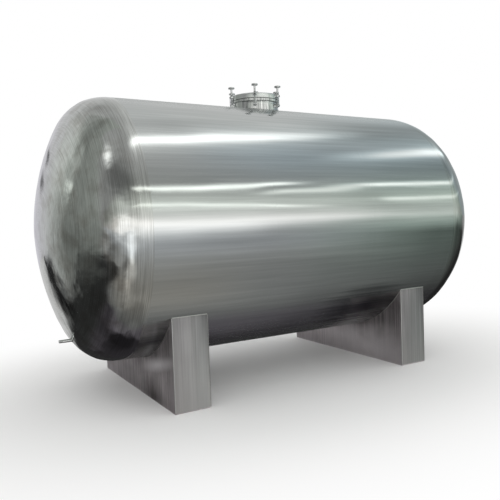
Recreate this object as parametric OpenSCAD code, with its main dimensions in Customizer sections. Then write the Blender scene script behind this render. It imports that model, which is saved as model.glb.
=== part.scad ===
// Horizontal stainless steel storage tank on two box saddles, with a bolted manway on top.
// Millimetres, Z up. The origin is on the floor under the middle of the tank, and X runs along the tank.

/* [Shell] */
// Outside diameter of the shell and its heads
tank_d = 2200; // [1800:10:2600]
// Thickness of the shell and head plate
plate_t = 5; // [3:0.5:8]
// Width of each of the three plate courses
course_l = 1000; // [900:10:1500]
// Angle about the tank's axis that an upper plate spans
upper_span = 120; // [100:10:140]
// Height of the shell's lowest line above the floor
floor_gap = 300; // [200:5:500]

/* [Heads] */
// Depth of the dish beyond its straight flange
head_depth = 550; // [480:5:650]
// Outside radius of the knuckle
knuckle_r = 380; // [250:5:420]
// Length of the straight flange
flange_l = 25; // [15:1:50]

/* [Saddles] */
// Distance between the middles of the two saddles
saddle_pitch = 2340; // [1600:10:2600]
// Length of a saddle along the tank
saddle_l = 300; // [200:10:400]
// Width of a saddle across the tank
saddle_w = 1750; // [1400:10:1790]
// Thickness of the web and end plates
saddle_t = 6; // [4:0.5:10]
// Thickness of the base plate
base_t = 8; // [6:1:16]

/* [Manway] */
// Inside diameter of the neck
neck_id = 450; // [400:10:600]
// Wall thickness of the neck
neck_t = 4; // [3:0.5:8]
// Height of the rim's underside above the top of the shell
rim_rise = 62; // [56:1:120]
// Width of the rim outside the neck
rim_w = 13; // [10:0.5:20]
// Height of the rim
rim_h = 22; // [12:1:30]
// Thickness of the gasket
gasket_t = 4; // [2:0.5:6]
// Height of the lid's edge
lid_h = 47; // [42:1:60]
// Radius of the lid's rounded shoulder
lid_edge_r = 12; // [8:0.5:16]
// Thickness of the lid's plate
lid_t = 4; // [3:0.5:6]
// Radius at which the lid's dish starts
dish_r = 190; // [150:5:220]
// Rise of the lid's dish at its middle
dish_rise = 14; // [6:1:30]
// Width of the lid's seat on the gasket
seat_w = 22; // [15:1:30]
// Distance between the legs of the lid's handle
handle_l = 140; // [100:5:200]
// Height of the handle above the lid's dish
handle_h = 36; // [30:1:60]
// Diameter of the handle's rod
handle_d = 14; // [10:0.5:18]

/* [Swing bolts] */
// Number of swing bolts around the manway
bolt_n = 6; // [4:1:8]
// Diameter of a bolt
bolt_d = 12; // [10:0.5:14]
// Distance from the rim's edge to a bolt's middle
bolt_off = 11; // [10:0.5:16]
// Width of a bolt's eye
eye_w = 14; // [10:0.5:18]
// Outside radius of a bolt's eye
eye_r = 13; // [11:0.5:15]
// Diameter of a clevis pin
pin_d = 12; // [8:0.5:14]
// Distance from the rim's underside down to the pins
pin_drop = 36; // [20:1:40]
// Thickness of a clevis ear
ear_t = 8; // [5:0.5:10]
// Radius of a clevis ear's rounded end
ear_r = 15; // [13:0.5:18]
// Height of a lid lug's underside above the gasket
lug_rise = 18; // [8:1:20]
// Thickness of a lid lug
lug_t = 16; // [10:0.5:18]
// Half the width of a lid lug
lug_r = 21; // [18:0.5:26]
// Diameter of a washer
washer_d = 30; // [26:1:36]
// Thickness of a washer
washer_t = 3; // [2:0.5:4]
// Diameter of a hand knob's disc
knob_d = 60; // [45:1:75]
// Thickness of a hand knob's disc
knob_t = 14; // [8:1:18]
// Height of a hand knob
knob_h = 83; // [70:1:100]
// Diameter of a hand knob's stem
stem_d = 18; // [17:0.5:22]
// Width of a hand knob's hexagonal foot across its corners
foot_d = 27; // [24:0.5:30]
// Height of a hand knob's hexagonal foot
foot_h = 14; // [8:1:20]

/* [Outlet] */
// Outside diameter of the outlet pipe
outlet_d = 26.9; // [21.3:0.1:42.4]
// Wall thickness of the outlet pipe
outlet_t = 2.9; // [2:0.1:4]
// Distance from the tank's axis down to the outlet
outlet_drop = 900; // [500:10:950]
// Length of pipe that stands out of the head
outlet_l = 100; // [70:5:200]
// Length of the threaded end
thread_l = 30; // [20:1:50]
// Diameter of the threaded end
thread_d = 26.4; // [20.9:0.1:42]

/* [Hidden] */
$fn = 144;
eps = 1;
tank_r = tank_d / 2;
axis_z = floor_gap + tank_r;
top_z = axis_z + tank_r;
shell_l = 3 * course_l;
crown_r = (tank_r * tank_r + head_depth * head_depth - 2 * tank_r * knuckle_r)
    / (2 * (head_depth - knuckle_r));
joint_r = (tank_r - knuckle_r) * crown_r / (crown_r - knuckle_r);
neck_r = neck_id / 2 + neck_t;
rim_r = neck_r + rim_w;
rim_z = top_z + rim_rise;
gasket_z = rim_z + rim_h;
lid_z = gasket_z + gasket_t;
lid_r = rim_r;
crest_z = lid_z + lid_h + dish_rise;
bolt_ring_r = rim_r + bolt_off;
pin_z = rim_z - pin_drop;
lug_z = lid_z + lug_rise;
washer_z = lug_z + lug_t;
knob_z = washer_z + washer_t;
thread_up = knob_h * 0.55;
ear_x = eye_w / 2 + 1;
outlet_x = shell_l / 2 + flange_l + dish_at(outlet_drop);
COURSES = ["near", "middle", "far"];

// Height of a head's outside above its straight flange, at a distance from the axis
function dish_at(r) = r > joint_r
    ? sqrt(knuckle_r * knuckle_r - (r - tank_r + knuckle_r) * (r - tank_r + knuckle_r))
    : sqrt(crown_r * crown_r - r * r) - crown_r + head_depth;

// Angle of a bolt about the manway, the first one towards the far head
function bolt_angle(i) = (i - 1) * 360 / bolt_n;

// Puts a shape that stands on Z along the tank instead, pointing to the near head
module to_near(x) {
    translate([x, 0, axis_z]) rotate([0, -90, 0]) children();
}

// The round space that the shell takes up, for cutting what meets it
module shell_space(r) {
    to_near(shell_l / 2) cylinder(r = r, h = shell_l);
}

// Half the outline of a dished head, a crown arc that runs into a knuckle arc, set in by a thickness
module head_outline(inset) {
    square([tank_r - inset, flange_l]);
    translate([0, flange_l]) {
        intersection() {
            translate([0, head_depth - crown_r]) circle(crown_r - inset);
            square([joint_at(inset), head_depth]);
        }
        intersection() {
            translate([tank_r - knuckle_r, 0]) circle(knuckle_r - inset);
            translate([joint_at(inset), 0]) square([tank_r - joint_at(inset), head_depth]);
        }
    }
}

// Distance from the axis at which the two arcs of a head meet, set in by a thickness
function joint_at(inset) = joint_r * (crown_r - inset) / crown_r;

// A pressed head, open towards the shell
module head() {
    rotate_extrude() difference() {
        head_outline(0);
        head_outline(plate_t);
        translate([0, -eps]) square([tank_r - plate_t, 2 * eps]);
    }
}

// The head at the outlet's end, with the hole that the pipe is set into
module near_head() {
    color([0.55, 0.57, 0.56]) difference() {
        to_near(-shell_l / 2) head();
        outlet_place() translate([0, 0, -100]) cylinder(d = outlet_d, h = 200);
    }
}

// The plain head
module far_head() {
    color([0.55, 0.57, 0.56]) translate([shell_l / 2, 0, axis_z]) rotate([0, 90, 0]) head();
}

// One rolled plate of a course, centred on an angle from the top
module course_plate(i, middle, span) {
    color([0.68, 0.70, 0.69]) difference() {
        to_near((i - 0.5) * course_l) rotate([0, 0, middle - span / 2])
            rotate_extrude(angle = span) translate([tank_r - plate_t, 0]) square([plate_t, course_l]);
        translate([0, 0, axis_z]) cylinder(r = neck_r, h = tank_r + eps);
    }
}

// A saddle's web, a plate across the tank whose top edge follows the shell
module saddle_web(x) {
    color([0.42, 0.40, 0.38]) translate([x, 0, 0]) rotate([90, 0, 90])
        linear_extrude(saddle_t, center = true) difference() {
            translate([saddle_t - saddle_w / 2, base_t]) square([saddle_w - 2 * saddle_t, axis_z]);
            translate([0, axis_z]) circle(tank_r);
            translate([-tank_r, axis_z]) square([tank_d, tank_r]);
        }
}

// A saddle's end plate, closing both webs and cut to the shell at its top
module saddle_end(x, side) {
    color([0.56, 0.55, 0.54]) difference() {
        translate([x - saddle_l / 2, side * (saddle_w - saddle_t) / 2 - saddle_t / 2, base_t])
            cube([saddle_l, saddle_t, axis_z - base_t - tank_r / 4]);
        shell_space(tank_r);
    }
}

// A saddle's base plate on the floor
module saddle_base(x) {
    color([0.45, 0.44, 0.43]) translate([x - saddle_l / 2, -saddle_w / 2, 0])
        cube([saddle_l, saddle_w, base_t]);
}

// The manway's neck, set through the shell and flush with its inside
module manway_neck() {
    color([0.66, 0.68, 0.67]) difference() {
        translate([0, 0, axis_z + tank_r / 2]) cylinder(r = neck_r, h = gasket_z - axis_z - tank_r / 2);
        translate([0, 0, axis_z]) cylinder(d = neck_id, h = tank_d);
        shell_space(tank_r - plate_t);
    }
}

// The flat-faced ring around the top of the neck
module manway_rim() {
    color([0.60, 0.62, 0.61]) translate([0, 0, rim_z]) rotate_extrude()
        translate([neck_r, 0]) square([rim_w, rim_h]);
}

// The sealing ring between the rim and the lid
module manway_gasket() {
    color([0.16, 0.16, 0.16]) translate([0, 0, gasket_z]) rotate_extrude()
        translate([neck_id / 2, 0]) square([lid_r - neck_id / 2 - 2, gasket_t]);
}

// Half the outline of the lid, a pan with a round shoulder and a low dish, set in by a thickness
module lid_outline(inset) {
    dish_ball = (dish_r * dish_r + dish_rise * dish_rise) / (2 * dish_rise);
    square([lid_r - inset, lid_h - lid_edge_r]);
    square([lid_r - lid_edge_r, lid_h - inset]);
    translate([lid_r - lid_edge_r, lid_h - lid_edge_r]) circle(lid_edge_r - inset);
    intersection() {
        translate([0, lid_h + dish_rise - dish_ball]) circle(dish_ball - inset);
        square([dish_r, 2 * lid_h]);
    }
}

// The pressed lid with the flat seat inside its edge
module manway_lid() {
    color([0.64, 0.66, 0.65]) translate([0, 0, lid_z]) rotate_extrude() {
        difference() {
            lid_outline(0);
            lid_outline(lid_t);
            translate([0, -eps]) square([lid_r - lid_t, 2 * eps]);
        }
        translate([lid_r - seat_w, 0]) square([seat_w, 1.5 * lid_t]);
    }
}

// Forked lugs on the lid's edge, open outwards so that a bolt can swing clear
module lid_lugs() {
    color([0.58, 0.60, 0.59]) for (i = [1 : bolt_n]) rotate([0, 0, bolt_angle(i)])
        translate([0, 0, lug_z]) linear_extrude(lug_t) difference() {
            union() {
                translate([lid_r - lug_r, -lug_r]) square([lug_r + bolt_off, 2 * lug_r]);
                translate([bolt_ring_r, 0]) circle(lug_r);
            }
            circle(lid_r);
            translate([bolt_ring_r, 0]) circle(d = bolt_d + 2);
            translate([bolt_ring_r, -bolt_d / 2 - 1]) square([lug_r + eps, bolt_d + 2]);
        }
}

// A low bent rod on the lid's dish
module lid_handle() {
    bend = handle_d * 1.2;
    color([0.60, 0.62, 0.61]) translate([0, 0, crest_z]) difference() {
        for (m = [0, 1]) mirror([0, m, 0]) {
            translate([0, handle_l / 2, -handle_d])
                cylinder(d = handle_d, h = handle_h + handle_d / 2 - bend);
            translate([0, handle_l / 2 - bend, handle_h - handle_d / 2 - bend]) rotate([90, 0, 90])
                rotate_extrude(angle = 90) translate([bend, 0]) circle(d = handle_d);
            translate([0, 0, handle_h - handle_d / 2]) rotate([-90, 0, 0])
                cylinder(d = handle_d, h = handle_l / 2 - bend);
        }
        translate([0, 0, -crest_z + lid_z]) rotate_extrude() lid_outline(0);
    }
}

// Pairs of ears on the neck that hold the pins
module clevis_ears() {
    color([0.58, 0.60, 0.59]) for (i = [1 : bolt_n]) rotate([0, 0, bolt_angle(i)])
        for (s = [-1, 1]) difference() {
            translate([0, s * (ear_x + ear_t / 2), pin_z]) rotate([90, 0, 0])
                linear_extrude(ear_t, center = true) difference() {
                    union() {
                        translate([bolt_ring_r, 0]) circle(ear_r);
                        translate([neck_r / 2, -ear_r]) square([bolt_ring_r - neck_r / 2, 2 * ear_r]);
                    }
                    translate([bolt_ring_r, 0]) circle(d = pin_d);
                }
            translate([0, 0, axis_z]) cylinder(r = neck_r, h = tank_d);
        }
}

// Headed pins through the ears and the bolts' eyes
module clevis_pins() {
    reach = ear_x + ear_t;
    color([0.50, 0.52, 0.51]) for (i = [1 : bolt_n]) rotate([0, 0, bolt_angle(i)])
        translate([bolt_ring_r, 0, pin_z]) rotate([90, 0, 0]) {
            translate([0, 0, -reach - 4]) cylinder(d = pin_d, h = 2 * reach + 4);
            translate([0, 0, reach]) cylinder(d = pin_d * 1.5, h = 4);
        }
}

// Flat washers on the lid's lugs
module bolt_washers() {
    color([0.62, 0.64, 0.63]) for (i = [1 : bolt_n]) rotate([0, 0, bolt_angle(i)])
        translate([bolt_ring_r, 0, washer_z]) difference() {
            cylinder(d = washer_d, h = washer_t);
            translate([0, 0, -eps]) cylinder(d = bolt_d + 1, h = washer_t + 2 * eps);
        }
}

// A bolt with an eye at its foot, standing in its lug
module swing_bolt(i) {
    color([0.54, 0.56, 0.55]) rotate([0, 0, bolt_angle(i)]) translate([bolt_ring_r, 0, pin_z])
        difference() {
            union() {
                rotate([90, 0, 0]) cylinder(r = eye_r, h = eye_w, center = true);
                cylinder(d = bolt_d, h = knob_z + thread_up - 3 - pin_z);
            }
            rotate([90, 0, 0]) cylinder(d = pin_d + 0.2, h = 2 * eye_w, center = true);
        }
}

// A hand knob, a disc on a stem with a hexagonal foot and a blind hole for the bolt
module hand_knob(i) {
    edge = 4;
    color([0.40, 0.42, 0.41]) rotate([0, 0, bolt_angle(i)]) translate([bolt_ring_r, 0, knob_z])
        difference() {
            union() {
                rotate_extrude() {
                    square([stem_d / 2, knob_h]);
                    translate([0, knob_h - knob_t]) square([knob_d / 2 - edge, knob_t]);
                    translate([0, knob_h - knob_t + edge]) square([knob_d / 2, knob_t - 2 * edge]);
                    for (z = [edge, knob_t - edge])
                        translate([knob_d / 2 - edge, knob_h - knob_t + z]) circle(edge);
                }
                cylinder(d = foot_d, h = foot_h, $fn = 6);
            }
            translate([0, 0, -eps]) cylinder(d = bolt_d + 0.4, h = thread_up + eps);
        }
}

// Puts a shape that stands on Z at the outlet's place on the near head, pointing out
module outlet_place() {
    translate([-outlet_x, 0, axis_z - outlet_drop]) rotate([0, -90, 0]) children();
}

// The outlet pipe, set through the head, with a threaded end
module outlet_pipe() {
    color([0.58, 0.60, 0.59]) outlet_place() difference() {
        union() {
            translate([0, 0, -30]) cylinder(d = outlet_d, h = 30 + outlet_l - thread_l);
            translate([0, 0, outlet_l - thread_l]) cylinder(d = thread_d, h = thread_l);
        }
        translate([0, 0, -60]) cylinder(d = outlet_d - 2 * outlet_t, h = 120 + outlet_l);
    }
}

near_head();
far_head();
for (i = [0 : 2]) {
    course_plate(i, 0, upper_span);
    course_plate(i, 180, 360 - upper_span);
}
for (s = [-1, 1]) {
    name = s < 0 ? "near_saddle_" : "far_saddle_";
    x = s * saddle_pitch / 2;
    reach = (saddle_l - saddle_t) / 2;
    saddle_web(x + s * reach);
    saddle_web(x - s * reach);
    saddle_end(x, -1);
    saddle_end(x, 1);
    saddle_base(x);
}
manway_neck();
manway_rim();
manway_gasket();
manway_lid();
lid_lugs();
lid_handle();
clevis_ears();
clevis_pins();
bolt_washers();
for (i = [1 : bolt_n]) {
    swing_bolt(i);
    hand_knob(i);
}
outlet_pipe();
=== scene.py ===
import math

import bpy
import numpy as np
from mathutils import Matrix, Vector


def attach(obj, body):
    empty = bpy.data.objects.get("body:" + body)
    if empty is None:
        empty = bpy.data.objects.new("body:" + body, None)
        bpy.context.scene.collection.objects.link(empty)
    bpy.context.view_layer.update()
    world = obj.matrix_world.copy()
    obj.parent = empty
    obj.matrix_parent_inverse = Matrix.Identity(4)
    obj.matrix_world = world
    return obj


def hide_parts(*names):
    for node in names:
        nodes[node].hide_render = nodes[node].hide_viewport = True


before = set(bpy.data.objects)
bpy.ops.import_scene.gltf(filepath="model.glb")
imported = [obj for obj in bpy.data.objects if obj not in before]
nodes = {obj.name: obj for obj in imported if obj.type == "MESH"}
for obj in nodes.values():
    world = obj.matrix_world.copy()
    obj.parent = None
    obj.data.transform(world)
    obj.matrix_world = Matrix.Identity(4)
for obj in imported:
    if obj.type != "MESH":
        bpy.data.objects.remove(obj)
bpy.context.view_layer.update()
print("frame loaded,", len(nodes), "nodes")

# sizes in metres, the same as in the solids; seams: where the girth welds are along x
tank = {"radius": 1.1, "axisZ": 1.4, "plate": 0.005, "halfShell": 1.5, "course": 1.0,
        "seams": (-1.5, -0.5, 0.5, 1.5)}
noTris = np.zeros((0, 3), int)


def toLinear(hexColour):  # sRGB hex to linear RGBA
    c = np.array([int(hexColour[i:i + 2], 16) for i in (1, 3, 5)]) / 255
    lin = np.where(c <= 0.04045, c / 12.92, ((c + 0.055) / 1.055) ** 2.4)
    return (*lin.tolist(), 1.0)


def smooth(x, low, high):  # cubic ramp from 0 at low to 1 at high
    t = np.clip((x - low) / (high - low), 0, 1)
    return t * t * (3 - 2 * t)


def plateau(x, low, full, fall, end):  # rises from 0 at low to 1 at full and falls from fall to 0 at end
    return smooth(x, low, full) * (1 - smooth(x, fall, end))


def bell(x, middle, width):  # bump of height 1
    return np.exp(-((x - middle) / width) ** 2)


def waves(points, count, short, long, seed):
    # sum of plane waves of random direction and phase, lengths between short and long metres, about -1 to 1
    pick = np.random.default_rng(seed)
    way = pick.normal(size=(count, 3))
    way /= np.linalg.norm(way, axis=1)[:, None]
    length = pick.uniform(short, long, count)
    phase = pick.uniform(0, 2 * np.pi, count)
    return np.sin(points @ (way * (2 * np.pi / length)[:, None]).T + phase).sum(-1) / math.sqrt(count)


def fullTurn(count):  # even angles once round
    return np.linspace(0, 2 * np.pi, count, endpoint=False)


def circle(count):  # round profile of radius 1
    t = fullTurn(count)
    return np.stack([np.cos(t), np.sin(t)], -1)


def tiled(direction, count):  # one direction for all points of a path
    return np.tile(np.asarray(direction, float), (count, 1))


def gridFaces(rows, cols, wrapRows=False, wrapCols=False):
    # quads between the points of a grid, closed round on the sides that wrap
    r = np.arange(rows if wrapRows else rows - 1)
    c = np.arange(cols if wrapCols else cols - 1)
    i, j = np.meshgrid(r, c, indexing="ij")
    i2, j2 = (i + 1) % rows, (j + 1) % cols
    return np.stack([i * cols + j, i * cols + j2, i2 * cols + j2, i2 * cols + j], -1).reshape(-1, 4)


def fanFaces(ring, tip):  # triangles from a closed ring of points to one tip
    return np.stack([ring, np.roll(ring, -1), np.full(len(ring), tip)], -1)


def makePiece(name, points, quads, tris=noTris, uv=None, sharp=40):
    # puts whole arrays of points and faces into a new smooth-shaded object at the origin
    corners = np.concatenate([quads.ravel(), tris.ravel()]).astype(np.int32)
    starts = np.concatenate([np.arange(len(quads)) * 4, quads.size + np.arange(len(tris)) * 3])
    mesh = bpy.data.meshes.new(name)
    mesh.vertices.add(len(points))
    mesh.vertices.foreach_set("co", np.asarray(points, np.float32).ravel())
    mesh.loops.add(len(corners))
    mesh.loops.foreach_set("vertex_index", corners)
    mesh.polygons.add(len(starts))
    mesh.polygons.foreach_set("loop_start", starts.astype(np.int32))
    mesh.polygons.foreach_set("use_smooth", np.ones(len(starts), bool))
    if uv is not None:
        layer = mesh.uv_layers.new(name="surfaceUv")
        layer.data.foreach_set("uv", np.asarray(uv, np.float32)[corners].ravel())
    mesh.update(calc_edges=True)
    mesh.validate()
    mesh.set_sharp_from_angle(angle=math.radians(sharp))
    obj = bpy.data.objects.new(name, mesh)
    bpy.context.scene.collection.objects.link(obj)
    return obj


def outward(points, quads, tris):
    # turns all faces round if the volume they enclose comes out negative
    fans = np.concatenate([quads[:, [0, 1, 2]], quads[:, [0, 2, 3]], tris])
    a, b, c = (points[fans[:, k]] for k in range(3))
    if np.einsum("ij,ij->", a, np.cross(b, c)) < 0:
        return quads[:, ::-1], tris[:, ::-1]
    return quads, tris


def looped(grid):  # rings of points, each joined to the next and the last to the first
    points = grid.reshape(-1, 3)
    return points, *outward(points, gridFaces(*grid.shape[:2], True, True), noTris)


def capped(grid, first, last):  # rings of points, each joined to the next, and both ends closed to a tip
    rows, cols = grid.shape[:2]
    ring = np.arange(cols)
    points = np.concatenate([grid.reshape(-1, 3), [first, last]])
    ends = fanFaces(ring[::-1], rows * cols), fanFaces((rows - 1) * cols + ring, rows * cols + 1)
    return points, *outward(points, gridFaces(rows, cols, wrapCols=True), np.concatenate(ends))


def carried(path, side, rise, profile, swell=None, closed=False):
    # a closed profile (across, up) carried along a path: point = path + (side * across + rise * up) * swell
    size = 1.0 if swell is None else swell[:, None, None]
    across, up = profile[None, :, :1], profile[None, :, 1:]
    grid = path[:, None] + side[:, None] * across * size + rise[:, None] * up * size
    return looped(grid) if closed else capped(grid, path[0], path[-1])


def turned(profile, count, baseZ):
    # (radius, height) turned about the upright axis: a ring, or closed if it starts and ends on the axis
    profile = np.asarray(profile, float) + [0, baseZ]
    tips = profile[0, 0] < 1e-9
    body = profile[1:-1] if tips else profile
    angle = fullTurn(count)
    r, z = body[:, :1], body[:, 1:] + 0 * angle
    grid = np.stack([r * np.cos(angle), r * np.sin(angle), z], -1)
    return capped(grid, (0, 0, profile[0, 1]), (0, 0, profile[-1, 1])) if tips else looped(grid)


def thickened(points, normal, quads, tris, wall):
    # a skin made a plate: the same skin set in along its normals and turned round, and a rim on open edges
    n = len(points)
    edges = np.concatenate([np.stack([f, np.roll(f, -1, 1)], -1).reshape(-1, 2) for f in (quads, tris)])
    free = edges[~np.isin(edges[:, 0] * n + edges[:, 1], edges[:, 1] * n + edges[:, 0])]
    rim = np.stack([free[:, 1], free[:, 0], free[:, 0] + n, free[:, 1] + n], -1)
    quads, tris = np.concatenate([quads, quads[:, ::-1] + n, rim]), np.concatenate([tris, tris[:, ::-1] + n])
    return np.concatenate([points, points - normal * wall]), quads, tris


def joined(parts):  # several surfaces put into one set of arrays
    shift = np.cumsum([0] + [len(p[0]) for p in parts[:-1]])
    quads, tris = (np.concatenate([p[k] + s for p, s in zip(parts, shift)]) for k in (1, 2))
    return np.concatenate([p[0] for p in parts]), quads, tris


def spun(part, angle):  # a surface turned about the upright axis
    c, s = math.cos(angle), math.sin(angle)
    return part[0] @ np.array([[c, s, 0], [-s, c, 0], [0, 0, 1]]), part[1], part[2]


def addNode(tree, kind, settings=None, links=None):
    # one node with its settings (attributes, or else inputs) and its links
    node = tree.nodes.new(kind)
    for key, value in (settings or {}).items():
        if isinstance(key, int) or not hasattr(node, key):
            node.inputs[key].default_value = value
        else:
            setattr(node, key, value)
    for key, source in (links or {}).items():
        tree.links.new(source, node.inputs[key])
    return node


def newTree(name):  # an empty material with its output
    mat = bpy.data.materials.new(name)
    mat.use_nodes = True
    mat.node_tree.nodes.clear()
    return mat, mat.node_tree, addNode(mat.node_tree, "ShaderNodeOutputMaterial").inputs["Surface"]


def steel(name, colours, rough, stroke, cloud, bump, spunRound=False, stain=None, metallic=1.0, marks=None,
          dull=(), dust=None, places=()):
    # colours: dark and light end of the strokes; rough: from the clean to the dull places
    # stroke: mm that one stroke measures along x, y and z; cloud: metres across a cloudy patch
    mat, tree, surface = newTree(name)
    where = point = addNode(tree, "ShaderNodeTexCoord").outputs["Object"]
    axes = addNode(tree, "ShaderNodeSeparateXYZ", {}, {"Vector": point}).outputs
    if spunRound:  # strokes run round the axis: across them by the UV's arc length, slowly along them
        flat = addNode(tree, "ShaderNodeUVMap", {"uv_map": "surfaceUv"}).outputs["UV"]
        arc = addNode(tree, "ShaderNodeSeparateXYZ", {}, {"Vector": flat}).outputs["X"]
        rounds = addNode(tree, "ShaderNodeCombineXYZ", {}, {"X": arc, "Y": axes["Y"], "Z": axes["Z"]})
        where = rounds.outputs["Vector"]
        dish = addNode(tree, "ShaderNodeMapRange", {"From Min": 0.04, "From Max": 0.22},
                       {"Value": arc}).outputs["Result"]  # from the flange to the dish, in metres
    stretch = addNode(tree, "ShaderNodeMapping", {"Scale": [1000 / s for s in stroke]}, {"Vector": where})
    fine = addNode(tree, "ShaderNodeTexNoise", {"Scale": 1.0, "Detail": 5.0, "Roughness": 0.62},
                   {"Vector": stretch.outputs["Vector"]}).outputs["Fac"]
    patch = addNode(tree, "ShaderNodeTexNoise", {"Scale": 1 / cloud, "Detail": 3.0, "Roughness": 0.5},
                    {"Vector": point}).outputs["Fac"]
    tone = addNode(tree, "ShaderNodeMapRange", {"From Min": 0.3, "From Max": 0.7}, {"Value": fine})
    dark, light = (toLinear(c) for c in colours)
    colour = addNode(tree, "ShaderNodeMix", {"data_type": "RGBA", 6: dark, 7: light},
                     {0: tone.outputs["Result"]}).outputs[2]
    films = []  # other colours laid over it, each with its share: stain and dust films, and pale and dark places, some of them painted shade
    if stain:  # a warm film in cloudy patches: (colour, share)
        cloudy = addNode(tree, "ShaderNodeMapRange", {"From Min": 0.46, "From Max": 0.72, "To Max": stain[1]},
                         {"Value": patch}).outputs["Result"]
        if spunRound:  # none on the flange
            cloudy = addNode(tree, "ShaderNodeMath", {"operation": "MULTIPLY"},
                             {0: cloudy, 1: dish}).outputs["Value"]
        films.append((stain[0], cloudy))
    if dust:  # a pale film rising from the floor: (height it reaches in metres, colour, share at the floor)
        settled = addNode(tree, "ShaderNodeMapRange", {"From Max": dust[0], "To Min": dust[2], "To Max": 0.0},
                          {"Value": axes["Z"]})
        films.append((dust[1], settled.outputs["Result"]))
    for middle, reach, tint, slope, share in places:
        # a pale or dark place with a ragged edge, its reach in metres along x, y and z, sloping about x (the
        # dark ones on the shell and on the far end plate are painted shade)
        lay = {"vector_type": "TEXTURE", "Location": middle, "Scale": reach, "Rotation": (slope, 0, 0)}
        inside = addNode(tree, "ShaderNodeMapping", lay, {"Vector": point})
        far = addNode(tree, "ShaderNodeVectorMath", {"operation": "LENGTH"}, {0: inside.outputs["Vector"]})
        ragged = addNode(tree, "ShaderNodeMath", {"operation": "ADD"}, {0: far.outputs["Value"], 1: fine})
        rubbed = addNode(tree, "ShaderNodeMapRange",
                         {"From Min": 0.6, "From Max": 1.5, "To Min": share, "To Max": 0.0},
                         {"Value": ragged.outputs["Value"]})
        films.append((tint, rubbed.outputs["Result"]))
    for tint, share in films:
        colour = addNode(tree, "ShaderNodeMix", {"data_type": "RGBA", 7: toLinear(tint)},
                         {0: share, 6: colour}).outputs[2]
    both = addNode(tree, "ShaderNodeMath", {"operation": "ADD"}, {0: fine, 1: patch})
    roughness = addNode(tree, "ShaderNodeMapRange",
                        {"From Min": 0.75, "From Max": 1.25, "To Min": rough[0], "To Max": rough[1]},
                        {"Value": both.outputs["Value"]}).outputs["Result"]
    for start, full, added in dull:
        # duller where dust lies on top or splashes dry below, growing from one height in metres to another
        duller = addNode(tree, "ShaderNodeMapRange", {"From Min": start, "From Max": full, "To Max": added},
                         {"Value": axes["Z"]})
        roughness = addNode(tree, "ShaderNodeMath", {"operation": "ADD"},
                            {0: roughness, 1: duller.outputs["Result"]}).outputs["Value"]
    relief = addNode(tree, "ShaderNodeBump", {"Strength": bump, "Distance": 0.001},
                     {"Height": fine}).outputs["Normal"]
    if marks:  # shallow hammer marks, none on the flange: (mm across one, mm deep)
        dent = addNode(tree, "ShaderNodeTexNoise",
                       {"Scale": 1000 / marks[0], "Detail": 1.5, "Roughness": 0.5},
                       {"Vector": point}).outputs["Fac"]
        deep = addNode(tree, "ShaderNodeMath", {"operation": "MULTIPLY", 1: marks[1] / 1000},
                       {0: dish}).outputs["Value"]
        relief = addNode(tree, "ShaderNodeBump", {"Strength": 1.0},
                         {"Height": dent, "Normal": relief, "Distance": deep}).outputs["Normal"]
    shader = addNode(tree, "ShaderNodeBsdfPrincipled", {"Metallic": metallic},
                     {"Base Color": colour, "Roughness": roughness, "Normal": relief})
    tree.links.new(shader.outputs["BSDF"], surface)
    return mat


# bright-rolled stainless sheet: nearly a mirror, with long faint rolling lines (real pitch under 1 mm, drawn
# at 40 mm); dusty on top, splashed below, and painted shade on the belly beside the saddles
shellSteel = steel("stainlessBrightRolled", ("#B8BCBA", "#CACECC"), (0.05, 0.11), (1400, 40, 40), 0.5, 0.05,
                   dull=((2.34, 2.47, 0.34), (0.95, 0.55, 0.18)),
                   places=(((0.66, -0.75, 0.59), (0.60, 0.48, 0.30), "#2A2833", 0, 1.0),
                           ((-1.40, -0.68, 0.54), (0.18, 0.25, 0.10), "#2A2833", 0, 0.8)))
# planished and buffed stainless: cloudy gloss, strokes round the dish (real grit 0.1 mm, drawn at 7 mm)
headSteel = steel("stainlessBuffedRound", ("#A6A9A5", "#D3D6D3"), (0.04, 0.12), (7, 300, 300), 0.12, 0.03,
                  spunRound=True, stain=("#7E776E", 0.45), marks=(74, 1.5))
# hot-rolled, pickled and brushed stainless plate: dull, brownish, upright strokes (drawn at 14 mm), pale and
# dark places low down
webSteel = steel("stainlessPickledUpright", ("#7C7777", "#DCD5D7"), (0.50, 0.64), (14, 14, 900), 0.25, 0.10,
                 stain=("#6F6768", 0.6), metallic=0.88, dust=(0.40, "#EEE6E9", 0.35),
                 places=(((-1.32, -0.56, 0.32), (0.15, 0.42, 0.065), "#F4F0F2", -0.23, 0.9),
                         ((-1.32, -0.42, 0.03), (0.15, 0.34, 0.17), "#3A3432", 0, 0.7),
                         ((-1.32, 0.30, 0.15), (0.15, 0.75, 0.35), "#5E5759", 0, 0.4),
                         ((1.02, -0.50, 0.08), (0.15, 0.85, 0.30), "#FFFAFC", 0, 0.60)))
# brushed stainless plate: soft even sheen, fine upright strokes (drawn at 16 mm); a darker place on the far
# saddle's front end plate is painted shade
endSteel = steel("stainlessBrushedUpright", ("#7F7E7E", "#ABAAAA"), (0.56, 0.70), (16, 16, 900), 0.25, 0.06,
                 metallic=0.84, dust=(0.75, "#E2E0DE", 0.5),
                 places=(((1.17, -0.875, 0.35), (0.3, 0.15, 0.8), "#5A5E5D", 0, 0.35),))
# turned and polished stainless: bright, with fine level lines (drawn at 5 mm)
manwaySteel = steel("stainlessTurned", ("#BFC3C1", "#DADCDB"), (0.10, 0.22), (120, 120, 5), 0.12, 0.06)
# drawn stainless tube: bright, with dark and bright upright streaks (drawn at 16 mm) that are a painted
# reflection
neckSteel = steel("stainlessStreaked", ("#767B7A", "#F2F3F2"), (0.10, 0.24), (16, 16, 260), 0.12, 0.05)
# turned stainless with a satin top: soft round glints
knobSteel = steel("stainlessTurnedSatin", ("#A8ABA9", "#D2D4D3"), (0.20, 0.32), (6, 6, 3), 0.04, 0.05)
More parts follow.
